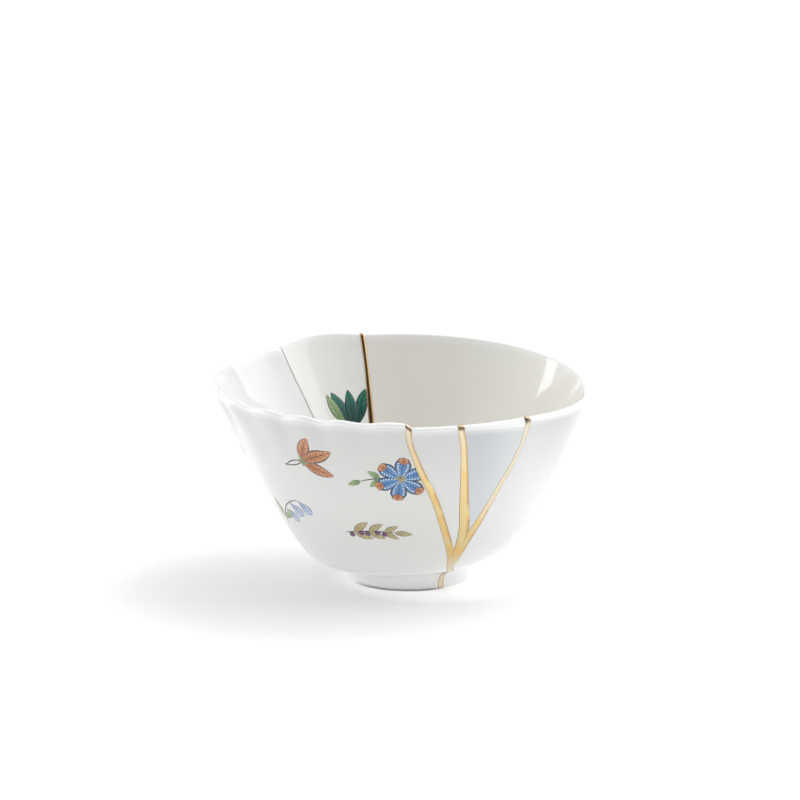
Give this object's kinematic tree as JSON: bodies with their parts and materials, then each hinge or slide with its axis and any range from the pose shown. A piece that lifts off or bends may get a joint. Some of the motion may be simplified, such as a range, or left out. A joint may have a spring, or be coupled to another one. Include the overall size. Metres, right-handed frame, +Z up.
{
  "type": "kintsugi bowl",
  "caption": "Small thin porcelain bowl on a foot ring, made of shards of a wavy-rimmed and a plain-rimmed bowl joined by raised gold seams.",
  "frame": {"origin": "centre of the bowl's outline, on the plane that the foot ring rests on", "axes": "+Z up, -Y to the front with the three converging seams, +X to the right as seen from the front"},
  "size_m": [0.1409, 0.1436, 0.078],
  "materials": {
    "porcelain": "white glossy glaze with painted decoration",
    "gold": "raised seams with a bright burnished gold surface"
  },
  "bodies": {
    "root": {"left_shard": "porcelain", "front_left_wedge": "porcelain", "front_right_wedge": "porcelain", "right_shard": "porcelain", "back_wedge": "porcelain", "gold_seams": "gold"}
  },
  "joints": []
}
